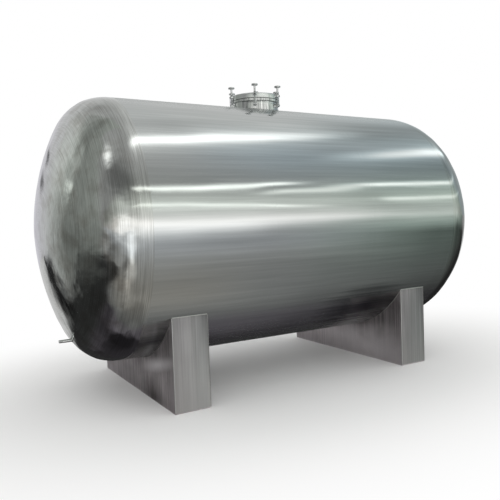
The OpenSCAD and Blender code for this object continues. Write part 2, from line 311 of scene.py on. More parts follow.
# machined stainless bar: small bright parts with a slight satin
boltSteel = steel("stainlessMachined", ("#A3A7A5", "#C6C9C8"), (0.16, 0.28), (10, 10, 3), 0.05, 0.08)
# weld metal dressed with a flap wheel: pale, duller than the plate and uneven (drawn at 5 mm)
weldSteel = steel("stainlessWeldDressed", ("#AFAFAC", "#CFCFCC"), (0.30, 0.44), (5, 5, 5), 0.06, 0.15)
# nitrile rubber, moulded: near black, matt
gasketRubber = steel("nitrileMoulded", ("#191919", "#262626"), (0.6, 0.75), (4, 4, 4), 0.05, 0.2,
                     metallic=0.0)
print("materials made")


def settle(obj, mat, replaced=()):  # material, body and the nodes a piece stands for
    obj.data.materials.clear()
    obj.data.materials.append(mat)
    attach(obj, "root")
    if replaced:
        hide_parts(*replaced)
    return obj


# neck: radius of the hole for the manway; snap: where the cut cells end, inside the neck's wall
shell = {"around": 360, "along": 60, "swell": 0.0006, "flat": 0.0045, "flatAt": 1.25, "flatWidth": 0.75,
         "pull": 0.00015, "pullWidth": 0.07, "endFade": 0.18, "neck": 0.229, "snap": 0.2265}


def sag(x, angle):
    # how far the rolled plates stand off the true round: slow swells, one long flat that shifts from course
    # to course, and a slight pull-in at each girth weld
    y, z = tank["radius"] * np.sin(angle), tank["radius"] * np.cos(angle)
    swell = shell["swell"] * waves(np.stack([x, y, z], -1), 14, 0.5, 1.6, 7)
    shift = smooth(x, -1.05, -0.45) - 0.85 * smooth(x, 0.55, 1.45) - 0.35
    fromTop = np.abs(np.abs(angle - np.pi) - np.pi)
    flat = shift * np.sin(4 * (angle - 1.05)) * bell(fromTop, shell["flatAt"], shell["flatWidth"])
    pull = sum(shell["pull"] * bell(x, seam, shell["pullWidth"]) for seam in tank["seams"])
    fade = smooth(tank["halfShell"] - np.abs(x), 0.0, shell["endFade"])
    return (swell + shell["flat"] * flat) * fade - pull


def courseSkin(part, x0):
    # point = (x, -r sin angle, axis + r cos angle), angle from the top, r = radius + sag
    along = np.linspace(x0, x0 + tank["course"], shell["along"])
    around = (np.arange(shell["around"]) + 0.5) * 2 * np.pi / shell["around"]  # half a step off the top line
    x, angle = np.meshgrid(along, around, indexing="ij")
    r = tank["radius"] + sag(x, angle)
    points = np.stack([x, -r * np.sin(angle), tank["axisZ"] + r * np.cos(angle)], -1).reshape(-1, 3)
    normal = np.stack([0 * x, -np.sin(angle), np.cos(angle)], -1).reshape(-1, 3)
    quads = gridFaces(len(along), len(around), wrapCols=True)
    if part == "middle":  # cells inside the neck go, and the points of cut cells move out to its wall
        away = np.hypot(points[:, 0], points[:, 1])
        inside = (away < shell["neck"]) & (points[:, 2] > tank["axisZ"])
        quads = quads[~inside[quads].all(1)]
        cut = np.zeros(len(points), bool)
        cut[quads.ravel()] = True
        cut &= inside
        points[cut, :2] *= (shell["snap"] / np.maximum(away[cut], 1e-6))[:, None]
        points[cut, 2] = tank["axisZ"] + np.sqrt(tank["radius"] ** 2 - points[cut, 1] ** 2)
        used, back = np.unique(quads, return_inverse=True)
        points, normal, quads = points[used], normal[used], back.reshape(quads.shape)
    skin = thickened(points, normal, quads, noTris, tank["plate"])
    replaced = [part + "_course_upper", part + "_course_lower"]
    return settle(makePiece(part + "Course", *skin), shellSteel, replaced)


for i, part in enumerate(("near", "middle", "far")):
    courseSkin(part, -tank["halfShell"] + i * tank["course"])
print("shell courses made")

head = {"around": 320, "knuckle": 0.38, "depth": 0.55, "flange": 0.025, "knuckleRows": 29, "crownRows": 46,
        "dent": 0.0010, "slowDent": 0.0016, "outletDrop": 0.9, "bore": 0.0131}


def headProfile():
    # straight flange, knuckle arc and crown arc as (radius, depth); the knuckle's last row is at the outlet's
    # distance from the axis
    wide, bend, deep, flange = tank["radius"], head["knuckle"], head["depth"], head["flange"]
    crown = (wide * wide + deep * deep - 2 * wide * bend) / (2 * (deep - bend))
    t = np.linspace(0, math.acos((head["outletDrop"] - wide + bend) / bend), head["knuckleRows"])
    u = np.linspace(math.asin((wide - bend) / (crown - bend)), 0, head["crownRows"])
    rad = np.concatenate([[wide], wide - bend + bend * np.cos(t), crown * np.sin(u)])
    dep = np.concatenate([[0], flange + bend * np.sin(t), flange + deep - crown + crown * np.cos(u)])
    return rad, dep


def outletHole(points, quads, cols, rad, dep):
    # the cells round the outlet's middle go, and the eight points round it move evenly onto the pipe's wall
    row, col = head["knuckleRows"], cols // 2
    ring = [(-1, 0), (-1, 1), (0, 1), (1, 1), (1, 0), (1, -1), (0, -1), (-1, -1)]
    index = np.array([(row + i) * cols + col + j for i, j in ring])
    middle = np.array([0.0, tank["axisZ"] - head["outletDrop"]])
    reach = points[index, 1:] - middle
    angle = np.arctan2(reach[:, 1], reach[:, 0])
    order = np.argsort(angle)
    steps = np.arange(8) * np.pi / 4
    even = np.empty(8)
    even[order] = steps + np.mean(angle[order] - steps)
    points[index, 1:] = middle + head["bore"] * np.stack([np.cos(even), np.sin(even)], -1)
    away = np.hypot(points[index, 1], points[index, 2] - tank["axisZ"])
    points[index, 0] = -(tank["halfShell"] + np.interp(-away, -rad, dep))
    return quads[~(quads == row * cols + col).any(1)]


def headSkin(part, side, seed):
    # the profile turned about the tank's axis, with low planishing dents along the surface's own direction
    rad, dep = headProfile()
    angle = fullTurn(head["around"])
    run = np.concatenate([[0], np.cumsum(np.hypot(np.diff(rad), np.diff(dep)))])
    r, x = rad[:-1, None] + 0 * angle, dep[:-1, None] + 0 * angle
    sine, cosine = np.sin(angle), np.cos(angle)
    grid = np.stack([side * (tank["halfShell"] + x), r * sine, tank["axisZ"] + r * cosine], -1)
    outR, outX = np.gradient(dep, run)[:-1, None], -np.gradient(rad, run)[:-1, None]  # outward direction
    normal = np.stack([side * outX + 0 * angle, outR * sine, outR * cosine], -1)
    low = waves(grid, 30, 0.10, 0.26, seed) * smooth(x, 0.06, 0.20) * (1 - 0.6 * smooth(x, 0.42, 0.54))
    slow = waves(grid, 12, 0.40, 0.9, seed + 1) * smooth(x, 0.05, 0.20)
    grid = grid + normal * (head["dent"] * low + head["slowDent"] * slow)[..., None]
    grid[:2] -= normal[:2] * shell["pull"] * bell(x[:2], 0, shell["pullWidth"])[..., None]
    rows, cols = grid.shape[:2]
    crest = [side * (tank["halfShell"] + dep[-1]), 0, tank["axisZ"]]
    points = np.concatenate([grid.reshape(-1, 3), [crest]])
    normal = np.concatenate([normal.reshape(-1, 3), [[side, 0, 0]]])
    uv = np.concatenate([np.stack([run[:-1, None] + 0 * angle, 0 * r], -1).reshape(-1, 2), [[run[-1], 0]]])
    quads = gridFaces(rows, cols, wrapCols=True)
    tris = fanFaces((rows - 1) * cols + np.arange(cols), rows * cols)
    if side > 0:
        quads, tris = quads[:, ::-1], tris[:, ::-1]
    else:
        quads = outletHole(points, quads, cols, rad, dep)
        used, back = np.unique(np.concatenate([quads.ravel(), tris.ravel()]), return_inverse=True)
        points, normal, uv = points[used], normal[used], uv[used]
        quads, tris = back[:quads.size].reshape(-1, 4), back[quads.size:].reshape(-1, 3)
    skin = thickened(points, normal, quads, tris, tank["plate"])
    piece = makePiece(part + "Head", *skin, np.concatenate([uv, uv]))
    return settle(piece, headSteel, [part + "_head"])


headSkin("near", -1, 5)
headSkin("far", 1, 15)
print("heads made")

# each bead: half its width, height over the plate and depth below it; step: between points along a bead
weld = {"girth": (0.012, 0.00006, 0.0008), "neck": (0.006, 0.0045, 0.003), "corner": (0.004, 0.0022, 0.002),
        "web": (0.005, 0.0035, 0.003), "end": (0.005, 0.003, 0.003), "ripple": 0.006, "step": 0.002}


def lens(bead, count=8):
    # flat lens-shaped profile of a weld bead: half an ellipse above the plate, a shallow one below it
    width, height, under = bead
    t = fullTurn(count)
    return np.stack([width * np.cos(t), np.where(np.sin(t) > 0, height, under) * np.sin(t)], -1)


def rippled(path, closed, seed):
    # size of a hand-laid bead along its path: small even ripples on a slow drift, run out at open ends
    run = np.concatenate([[0], np.cumsum(np.linalg.norm(np.diff(path, axis=0), axis=1))])
    drift = np.sin(run * 23 + np.random.default_rng(seed).uniform(0, 6))
    size = 1 + 0.10 * np.abs(np.sin(np.pi * run / weld["ripple"])) + 0.06 * drift
    if not closed:
        size = size * np.clip(np.minimum(run, run[-1] - run) / 0.004, 0.05, 1)
    return size


def between(a, b):  # the directions midway between b and the opposite of a, and midway between a and b
    return (b - a) / math.sqrt(2), (b + a) / math.sqrt(2)


def girthWeld(seam):
    # ring at x = seam, ground nearly flush
    angle = fullTurn(shell["around"])
    r = tank["radius"] + sag(np.full_like(angle, seam), angle)
    rise = np.stack([0 * angle, -np.sin(angle), np.cos(angle)], -1)
    path = rise * r[:, None] + np.array([seam, 0, tank["axisZ"]])
    return carried(path, tiled((1, 0, 0), len(path)), rise, lens(weld["girth"], 10), closed=True)


def neckWeld():
    # fillet between the neck and the shell, along the curve where they meet
    t = fullTurn(900)
    x, y = shell["neck"] * np.cos(t), shell["neck"] * np.sin(t)
    path = np.stack([x, y, tank["axisZ"] + np.sqrt(tank["radius"] ** 2 - y ** 2)], -1)
    out = np.stack([np.cos(t), np.sin(t), 0 * t], -1)
    side, rise = between(tiled((0, 0, 1), len(t)), out)
    return carried(path, side, rise, lens(weld["neck"], 10), rippled(path, True, 3), True)


for seam, name in zip(tank["seams"], ("nearHeadWeld", "nearCourseWeld", "farCourseWeld", "farHeadWeld")):
    settle(makePiece(name, *girthWeld(seam)), shellSteel)
settle(makePiece("neckWeld", *neckWeld()), weldSteel)
print("tank welds made")

saddle = {"x": 1.17, "half": 0.15, "front": 0.875, "base": 0.008, "plate": 0.006, "cornerIn": 0.0012,
          "stop": 0.002}


def saddleWelds(name, x):
    # corner beads up the edges of the end plates, and fillets where webs and end plates meet the shell
    parts = []
    radius, axisZ, half, front = tank["radius"], tank["axisZ"], saddle["half"], saddle["front"]
    inX, inY = half - saddle["cornerIn"], front - saddle["cornerIn"]
    topEnd = axisZ - math.sqrt(radius ** 2 - front ** 2)
    edge = math.asin((front - saddle["plate"]) / radius)
    diagonal = 1 / math.sqrt(2)
    for sx in (-1, 1):
        for sy in (-1, 1):
            z = np.arange(saddle["base"] + saddle["stop"], topEnd - saddle["stop"] / 2, weld["step"])
            path = np.stack([0 * z + x + sx * inX, 0 * z + sy * inY, z], -1)
            rise = tiled((sx * diagonal, sy * diagonal, 0), len(z))
            side = tiled((sx * diagonal, -sy * diagonal, 0), len(z))
            swell = rippled(path, False, 11 + sx + 3 * sy)
            parts.append(carried(path, side, rise, lens(weld["corner"]), swell))
        a = np.arange(-edge, edge, weld["step"] / radius)
        path = np.stack([0 * a + x + sx * half, radius * np.sin(a), axisZ - radius * np.cos(a)], -1)
        down = np.stack([0 * a, np.sin(a), -np.cos(a)], -1)
        side, rise = between(down, tiled((sx, 0, 0), len(a)))
        parts.append(carried(path, side, rise, lens(weld["web"]), rippled(path, False, 31 + sx)))
    for sy in (-1, 1):
        q = np.arange(x - half + saddle["stop"], x + half - saddle["stop"], weld["step"])
        path = np.stack([q, 0 * q + sy * front, 0 * q + topEnd], -1)
        lean = np.array([0, -sy * (topEnd - axisZ), front]) / radius + [0, 0, -1]
        lean = tiled(lean / np.linalg.norm(lean), len(q))
        outer = np.cross(lean, tiled((sy, 0, 0), len(q)))
        parts.append(carried(path, lean, outer, lens(weld["end"]), rippled(path, False, 51 + sy)))
    return settle(makePiece(name, *joined(parts)), weldSteel)


saddleWelds("nearSaddleWelds", -saddle["x"])
saddleWelds("farSaddleWelds", saddle["x"])
print("saddle welds made")

manway = {"around": 180, "neckIn": 0.225, "neckOut": 0.229, "neckCut": 0.0012, "rimOut": 0.242, "rimZ": 2.562,
          "rimH": 0.022, "rimCut": 0.0015, "gasketH": 0.004, "lidH": 0.047, "edge": 0.012, "lidT": 0.004,
          "dishR": 0.190, "dishRise": 0.014, "seat": 0.022, "seatH": 0.006, "seatCut": 0.001}
gasketZ = manway["rimZ"] + manway["rimH"]
lidZ = gasketZ + manway["gasketH"]
crestZ = lidZ + manway["lidH"] + manway["dishRise"]


def manwayNeck():
    # tube whose foot follows the inside of the shell: height runs from the shell's curve to the rim's face
    t = fullTurn(manway["around"])
    inner, outer, cut = manway["neckIn"], manway["neckOut"], manway["neckCut"]
    stations = np.array([(outer, 0.0), (outer, 0.5), (outer, 0.985), (outer - cut, 1.0), (inner + cut, 1.0),
                         (inner, 0.985), (inner, 0.0)])  # (radius, share of the height)
    r, share = stations[:, :1] + 0 * t, stations[:, 1:]
    foot = tank["axisZ"] + np.sqrt((tank["radius"] - tank["plate"]) ** 2 - (r * np.sin(t)) ** 2)
    return looped(np.stack([r * np.cos(t), r * np.sin(t), foot + (gasketZ - foot) * share], -1))


def rimProfile():  # rectangle with cut corners, as a closed run of (radius, height)
    inner, outer, high, cut = manway["neckOut"], manway["rimOut"], manway["rimH"], manway["rimCut"]
    return [(inner, cut), (inner, high - cut), (inner + cut, high), (outer - cut, high), (outer, high - cut),
            (outer, cut), (outer - cut, 0), (inner + cut, 0)]


def lidProfile():
    # pressed lid from the crest down the outside and back inside: low dish, flat, round shoulder, skirt, seat
    out, edge, cut, seatH = manway["rimOut"], manway["edge"], manway["seatCut"], manway["seatH"]

    def outside(inset):
        ball = (manway["dishR"] ** 2 + manway["dishRise"] ** 2) / (2 * manway["dishRise"])
        r = np.linspace(0, manway["dishR"], 24)
        rise = manway["lidH"] + manway["dishRise"] - ball + np.sqrt((ball - inset) ** 2 - r ** 2)
        q = np.linspace(np.pi / 2, 0, 9)
        bend = np.stack([out - edge + (edge - inset) * np.cos(q),
                         manway["lidH"] - edge + (edge - inset) * np.sin(q)], -1)
        return np.concatenate([np.stack([r, rise], -1), bend])

    seatIn = out - manway["seat"]
    low = [(out, cut), (out - cut, 0), (seatIn + cut, 0), (seatIn, cut), (seatIn, seatH - cut),
           (seatIn + cut, seatH), (out - manway["lidT"], seatH)]
    return np.concatenate([outside(0.0), low, outside(manway["lidT"])[::-1]])


# flat ring with a round outer edge, as a closed run of (radius, height)
gasketProfile = [(0.2252, 0.0002), (0.2252, 0.0038), (0.2395, 0.0038), (0.2402, 0.003), (0.2405, 0.002),
                 (0.2402, 0.001), (0.2395, 0.0002)]

handle = {"half": 0.070, "top": 0.036, "rod": 0.007, "bend": 0.0168, "sunk": 0.005, "bead": 0.0028,
          "beadSunk": 0.0018}


def lidHandle():
    # a rod up one leg, over and down the other, with two round bends, and a bead round each foot
    half, bend = handle["half"], handle["bend"]
    topZ = crestZ + handle["top"] - handle["rod"]
    bendY, bendZ = half - bend, topZ - bend
    q = np.linspace(0, np.pi / 2, 10)
    leg = np.stack([np.full(8, half), np.linspace(crestZ - handle["sunk"], bendZ, 8, endpoint=False)], -1)
    arc = np.stack([bendY + bend * np.cos(q), bendZ + bend * np.sin(q)], -1)
    halfRod = np.concatenate([leg, arc, [[bendY * 0.5, topZ]]])
    line = np.concatenate([halfRod, [[0, topZ]], halfRod[::-1] * [-1, 1]])
    path = np.stack([0 * line[:, 0], line[:, 0], line[:, 1]], -1)
    tangent = np.gradient(path, axis=0)
    tangent /= np.linalg.norm(tangent, axis=1)[:, None]
    side = tiled((1, 0, 0), len(path))
    parts = [carried(path, side, np.cross(tangent, side), circle(24) * handle["rod"])]
    t = fullTurn(100)
    out = np.stack([np.cos(t), np.sin(t), 0 * t], -1)
    up = tiled((0, 0, 1), len(t))
    for y in (-half, half):
        ring = out * handle["rod"] + [0, y, crestZ - handle["beadSunk"]]
        parts.append(carried(ring, out, up, circle(8) * handle["bead"], rippled(ring, True, 71), True))
    return joined(parts)


rim = turned(rimProfile(), manway["around"], manway["rimZ"])
gasket = turned(gasketProfile, manway["around"], gasketZ)
lid = turned(lidProfile(), manway["around"], lidZ)
settle(makePiece("manwayNeck", *manwayNeck()), neckSteel, ["manway_neck"])
settle(makePiece("manwayRim", *rim), neckSteel, ["manway_rim"])
settle(makePiece("manwayGasket", *gasket), gasketRubber, ["manway_gasket"])
settle(makePiece("manwayLid", *lid), manwaySteel, ["manway_lid"])
settle(makePiece("lidHandle", *lidHandle()), manwaySteel, ["lid_handle"])
print("manway made")

knob = {"ring": 0.253, "z": 2.625, "hexagon": 0.0117, "disc": 0.026, "edge": 0.004, "discLow": 0.073,
        "discHigh": 0.079, "hollow": 0.081}


def handKnob():
    # radius by height and angle: hexagon foot, round stem, disc with a round edge and a slightly hollow top
    a = fullTurn(48)
    hexagon = knob["hexagon"] / np.cos((a + np.pi / 6) % (np.pi / 3) - np.pi / 6)
    foot = np.array([(0.94, 0.0), (1.0, 0.001), (1.0, 0.0128), (0.93, 0.014)])  # (hexagon's share, height)
    stem = [(0.0098, 0.0142), (0.009, 0.0152), (0.009, 0.066), (0.0098, 0.0684), (0.013, 0.069)]
    q = np.linspace(-np.pi / 2, np.pi / 2, 9)
    edge = [(v, knob["discLow"]) for v in q[:5]] + [(v, knob["discHigh"]) for v in q[4:]]
    disc = [(knob["disc"] + knob["edge"] * np.cos(v), z + knob["edge"] * np.sin(v)) for v, z in edge]
    top = [(0.020, 0.0825), (0.012, 0.0815), (0.004, knob["hollow"])]
    rest = np.array(stem + disc + top)
    r = np.concatenate([foot[:, :1] * hexagon, rest[:, :1] + 0 * a])
    z = np.concatenate([foot, rest])[:, 1:] + 0 * a
    place = np.array([knob["ring"], 0, knob["z"]])
    grid = np.stack([r * np.cos(a), r * np.sin(a), z], -1) + place
    return capped(grid, place, place + [0, 0, knob["hollow"]])


bolts = {"ring": 0.253, "radius": 0.0063, "depth": 0.0007, "pitch": 0.0025, "low": 2.570, "high": 2.6235}


def boltThread():
    # radius falls and rises once a pitch and moves on by one pitch a turn (drawn coarser than real)
    a = fullTurn(24)
    z = np.arange(bolts["low"], bolts["high"], bolts["pitch"] / 5)[:, None] + 0 * a
    r = bolts["radius"] - bolts["depth"] * np.abs(((z / bolts["pitch"] - a / (2 * np.pi)) % 1) * 2 - 1)
    r[0] = r[-1] = bolts["radius"] - bolts["depth"]
    grid = np.stack([bolts["ring"] + r * np.cos(a), r * np.sin(a), z], -1)
    return capped(grid, (bolts["ring"], 0, z[0, 0]), (bolts["ring"], 0, z[-1, 0]))


for i in range(6):
    angle, number = i * math.pi / 3, str(i + 1)
    settle(makePiece("handKnob" + number, *spun(handKnob(), angle), sharp=35), knobSteel,
           ["hand_knob_" + number])
    settle(makePiece("boltThread" + number, *spun(boltThread(), angle), sharp=60), boltSteel)
print("knobs and threads made")

outlet = {"out": 0.01345, "bore": 0.01055, "thread": 0.0132, "depth": 0.0008, "threadL": 0.030,
          "length": 0.100, "root": -0.030, "pitch": 0.0024, "bead": 0.0042}
rad, dep = headProfile()
outletX = tank["halfShell"] + float(np.interp(-head["outletDrop"], -rad, dep))


def outletPipe():
    # outside of the pipe from inside the head to its end, the thread as a wave that climbs one pitch a turn,
    # then the bore
    a = fullTurn(40)
    out, bore, end, root = outlet["out"], outlet["bore"], outlet["length"], outlet["root"]
    start = end - outlet["threadL"]
    plain = np.array([[out, root], [out, 0.02], [out, start - 0.001]])
    h = np.arange(start, end - 0.002, outlet["pitch"] / 6)[:, None]
    crest = outlet["thread"]
    mouth = np.array([[crest - 0.0012, end], [bore + 0.0008, end], [bore, end - 0.001], [bore, root]])
    wave = np.abs(((h / outlet["pitch"] - a / (2 * np.pi)) % 1) * 2 - 1)
    r = np.concatenate([plain[:, :1] + 0 * a, crest - outlet["depth"] * wave, mouth[:, :1] + 0 * a])
    along = np.concatenate([plain[:, 1:], h, mouth[:, 1:]]) + 0 * a
    z = tank["axisZ"] - head["outletDrop"] + r * np.sin(a)
    return looped(np.stack([-outletX - along, r * np.cos(a), z], -1))


def outletWeld():
    # fillet round the pipe where it leaves the head
    a = fullTurn(120)
    y, z = outlet["out"] * np.cos(a), outlet["out"] * np.sin(a) - head["outletDrop"]
    path = np.stack([-tank["halfShell"] - np.interp(-np.hypot(y, z), -rad, dep), y, tank["axisZ"] + z], -1)
    out = np.stack([0 * a, np.cos(a), np.sin(a)], -1)
    ahead = tiled((-1, 0, 0), len(a))
    return carried(path, out, ahead, circle(12) * outlet["bead"], rippled(path, True, 81), True)


settle(makePiece("outletPipe", *outletPipe(), sharp=60), manwaySteel, ["outlet_pipe"])
settle(makePiece("outletWeld", *outletWeld()), weldSteel)
print("outlet made")

finish = {"merge": 0.00002, "angle": 35, "saddleBevel": 0.0012, "smallBevel": 0.0006}
standIns = ("_course_", "_head", "manway_", "lid_handle", "hand_knob", "outlet_pipe")
for name, obj in nodes.items():  # the solids that stay: broken edges and a finish
    if any(word in name for word in standIns):
        continue
    if "saddle" in name:
        look = endSteel if "_end_" in name else webSteel
    else:
        look = manwaySteel if name in ("lid_lugs", "clevis_ears") else boltSteel
    obj.data.materials.clear()
    obj.data.materials.append(look)
    obj.data.polygons.foreach_set("use_smooth", np.ones(len(obj.data.polygons), bool))
    obj.modifiers.new("merge", "WELD").merge_threshold = finish["merge"]
    bevel = obj.modifiers.new("edges", "BEVEL")
    bevel.width = finish["saddleBevel"] if "saddle" in name else finish["smallBevel"]
    bevel.segments, bevel.limit_method, bevel.angle_limit = 2, "ANGLE", math.radians(finish["angle"])
    bevel.harden_normals = True
print("solids dressed")

# steel: the share of light that the steel throws back, by which the tent is brighter than what it shows
stage = {"floor": 60.0, "floorSides": 96, "fadeFrom": 1.5, "fadeTo": 3.1, "oval": 0.62, "domeRadius": 40.0,
         "rows": 451, "cols": 900, "steel": 0.58}

# floor: a wide disc of rings, pale near the tank and plain white further off
ringRadius = np.concatenate([np.linspace(0.5, 8, 26), [12, 20, stage["floor"]]])
ringPoints = np.pad(ringRadius[:, None, None] * circle(stage["floorSides"]), ((0, 0), (0, 0), (0, 1)))
floorPoints = np.concatenate([ringPoints.reshape(-1, 3), [[0, 0, 0]]])
floorQuads = gridFaces(len(ringRadius), stage["floorSides"], wrapCols=True)[:, ::-1]
floorTris = fanFaces(np.arange(stage["floorSides"]), len(floorPoints) - 1)
floor = makePiece("floor", floorPoints, floorQuads, floorTris)
floorMat, floorTree, floorSurface = newTree("paleFloor")
matt = addNode(floorTree, "ShaderNodeBsdfDiffuse", {"Color": toLinear("#F8F8F7")})
white = addNode(floorTree, "ShaderNodeEmission", {"Color": (1, 1, 1, 1), "Strength": 1.0})
place = addNode(floorTree, "ShaderNodeTexCoord").outputs["Object"]
oval = addNode(floorTree, "ShaderNodeMapping", {"Scale": (stage["oval"], 1, 1)}, {"Vector": place})
far = addNode(floorTree, "ShaderNodeVectorMath", {"operation": "LENGTH"}, {0: oval.outputs["Vector"]})
ramp = {"interpolation_type": "SMOOTHSTEP", "From Min": stage["fadeFrom"], "From Max": stage["fadeTo"]}
fade = addNode(floorTree, "ShaderNodeMapRange", ramp, {"Value": far.outputs["Value"]})
mixed = addNode(floorTree, "ShaderNodeMixShader", {},
                {0: fade.outputs["Result"], 1: matt.outputs["BSDF"], 2: white.outputs["Emission"]})
floorTree.links.new(mixed.outputs["Shader"], floorSurface)
floorMat.cycles.emission_sampling = "NONE"
floor.data.materials.append(floorMat)
floor.visible_glossy = False

# small round patches: (brightness or share taken away, turn, its width, elevation, its width), in degrees
smallLamps = ((0.22, 250, 8, -3, 4), (0.16, 192, 8, -1, 5), (0.35, 139, 3, 13.5, 2), (0.28, 234, 6, -38, 5),
              (0.10, 232, 9, -47, 6))
flagGlints = ((0.05, 188, 10, -38, 9), (0.05, 172, 14, -69, 5))
smallFlags = ((0.85, 100.5, 3.5, 13.3, 1.3), (0.75, 101, 5, 8.7, 1.3), (0.5, 229, 5, -26, 7),
              (0.4, 218, 8, -54, 6))


def patchOf(turn, e, spot):  # one of the patches above
    amount, middle, width, height, tall = spot
    return amount * bell(turn, middle, width) * bell(e, height, tall)


def lightSet(dx, dy, dz):
    # brightness that polished steel shows in a direction: pale screens, strip lamps and black flags
    e = np.degrees(np.arcsin(np.clip(dz, -1, 1)))  # elevation
    turn = np.degrees(np.arctan2(dy, dx)) % 360  # 0 far end, 90 behind, 180 outlet's end, 270 camera's side
    front = smooth(-dy, -0.15, 0.45)
    right = smooth(dx, 0.3, 0.9)
    level = dz / np.sqrt(dy ** 2 + np.where(dx > 0, 0.35, 0.7) * dx ** 2 + 1e-6)  # rise of the rows of lamps
    # cloth walls behind, dim at both ends, and a plain ceiling
    lowTurn = turn + 8 * (1 - smooth(e, -5, 15))
    behind = 0.41 - 0.17 * (1 - smooth(turn, 22, 48)) - 0.24 * smooth(lowTurn, 122, 146)
    behind += 0.04 * smooth(turn, 148, 156) + 0.03 * smooth(turn, 160, 178)
    behind *= 1 - 0.25 * smooth(-e, -5, 4) * smooth(turn, 132, 142)
    behind *= 1 - 0.20 * smooth(e, 25, 60) * plateau(turn, 60, 85, 108, 130)
    behind *= 1 - 0.35 * smooth(e, 32, 52) * plateau(turn, 112, 124, 132, 142)
    behind += 0.09 * bell(e, 19, 9) * bell(turn, 133, 14)
    behind *= 1 - 0.22 * bell(turn, 102, 12) * bell(e, 53, 10)
    # cloth walls at the camera's side
    camSide = 0.18 + 0.11 * smooth(dx, -0.45, 0.15) + 0.05 * smooth(e, 45, 70) - 0.04 * bell(e, 38, 9)
    camSide -= 0.09 * smooth(dx, 0.6, 0.85) * bell(e, 34, 9)
    camSide -= 0.035 * (1 - smooth(dx, -0.4, 0.1)) * bell(e, 38, 11)
    camSide -= 0.06 * smooth(dx, 0.74, 0.86) * bell(e, 30, 9)
    wall = behind + (camSide - behind) * front
    wall += (0.27 + 0.10 * smooth(dx, -0.1, 0.25) - wall) * smooth(e, 60, 80)
    # dull floor cloth, dark away from the camera's side
    ground = 0.17 * front * (1 - 0.5 * smooth(-dx, 0.55, 0.95)) * (1 - 0.66 * right)
    ground = 0.02 + ground * (1 - 0.40 * smooth(-e, 40, 80))
    ground *= 1 - 0.35 * smooth(dx, 0.64, 0.85)
    ground *= 1 - 0.5 * smooth(-e, 55, 66) * (1 - smooth(dx, 0.08, 0.30))
    ends = 1 - smooth(dy - 0.9 * np.abs(dx), 0, 0.08)
    ground += 0.05 * smooth(-e, 46, 62) * ends * (1 - bell(turn, 140, 16))
    ground += 0.10 * front * (1 - right) * bell(e, -14, 14) * smooth(turn, 196, 226)
    ground += 0.05 * front * bell(dx, 0.60, 0.09) * bell(e, -15, 9)
    horizon = -8.5 + 6 * smooth(dx, 0.62, 0.9) * smooth(-dy, -0.3, 0) - 9 * plateau(turn, 70, 84, 138, 150)
    lum = ground + (wall - ground) * smooth(e, horizon - 4.5, horizon + 4.5)
    # long pale screen at the camera's side, a softer one over it and rows of small lamps
    span = front * smooth(turn, 190, 228) * (1 - 0.8 * smooth(turn, 326, 342))
    dim = (1 - 0.55 * smooth(dx, 0.45, 0.85)) * (1 - 0.3 * smooth(dx, 0.55, 0.75))
    dim *= 1 + 0.25 * (1 - smooth(dx, -0.3, 0.25))
    dim *= (1 - 0.15 * smooth(dx, 0.42, 0.52)) * (1 - 0.15 * smooth(dx, 0.62, 0.74))
    width = np.where(level > 0.06, 0.09, 0.18 - 0.13 * smooth(dx, 0.2, 0.75))
    lum += span * dim * 0.60 * bell(level, 0.06, width)
    lum += span * (0.28 - 0.17 * right) * bell(level, 0.30, 0.20) * (1 - 0.5 * bell(turn, 314.5, 4))
    rows = front * smooth(turn, 246, 266) * (1 - 0.5 * smooth(dx, 0.6, 0.85))
    upper = 0.637 + 0.08 * smooth(turn, 297.5, 309) - 0.017 * bell(turn, 296, 5)
    lum += rows * bell(level, upper, 0.033 + 0.015 * bell(turn, 297, 6)) * (1 - smooth(turn, 308.5, 313))
    middle = 0.495 + 0.055 * smooth(turn, 300, 308) + 0.08 * smooth(turn, 311, 318)
    middle -= 0.035 * smooth(dx, 0.70, 0.76)
    bright = 0.45 * smooth(turn, 299, 308) + 0.50 * smooth(turn, 316, 320)
    lum += rows * bright * bell(level, middle, 0.042 + 0.02 * bell(turn, 313.5, 3))
    lower = 0.345 - 0.0058 * np.maximum(turn - 292, 0)
    lum += rows * 0.50 * bell(level, lower, 0.024) * (1 - smooth(turn, 303, 310))
    lum += rows * 0.60 * bell(level, 0.335, 0.03) * smooth(turn, 313.5, 317.5)
    # strip lamps overhead, straight on the ceiling plane, and one small square lamp
    up = np.maximum(dz, 0.05)
    px, py = dx / up, dy / up
    high = smooth(dz, 0.2, 0.4)
    off = py + 0.345 - np.where(px > 0, 0.45 * px + 0.25 * np.maximum(px - 0.4, 0), 0.12 * px)
    strip = plateau(px, -0.14, 0.22, 0.4, 0.95) * high
    lum += strip * bell(off, 0.015, np.where(off > 0, 0.07 + 0.03 * smooth(px, 0.38, 0.5), 0.085))
    halo = (0.13 + 0.09 * smooth(px, 0.36, 0.46)) * bell(off, 0, 0.38)
    lum += strip * np.where(off > 0, halo, 0.30 * bell(off, 0, 0.20))
    lum += 0.15 * bell(px, 0.68, 0.22) * bell(off, 0.27, 0.22) * high
    lum += 0.06 * bell(px, 0.70, 0.30) * bell(off, -0.24, 0.14) * high
    off = py + 0.86 - 0.56 * px
    strip = plateau(px, 0.75, 1.25, 1.7, 2.3) * high
    lum += strip * (0.72 * bell(off, 0, 0.12) + 0.18 * bell(off, 0.05, 0.30))
    lum += 0.85 * bell(px, -0.87, 0.28) * bell(py, -0.21, 0.14) * high
    # upright lamp near the camera, and the small lamps
    lum += 0.50 * bell(turn, 244, 7.5) * plateau(e, -44, -20, -8, -3)
    lum += sum(patchOf(turn, e, lamp) for lamp in smallLamps)
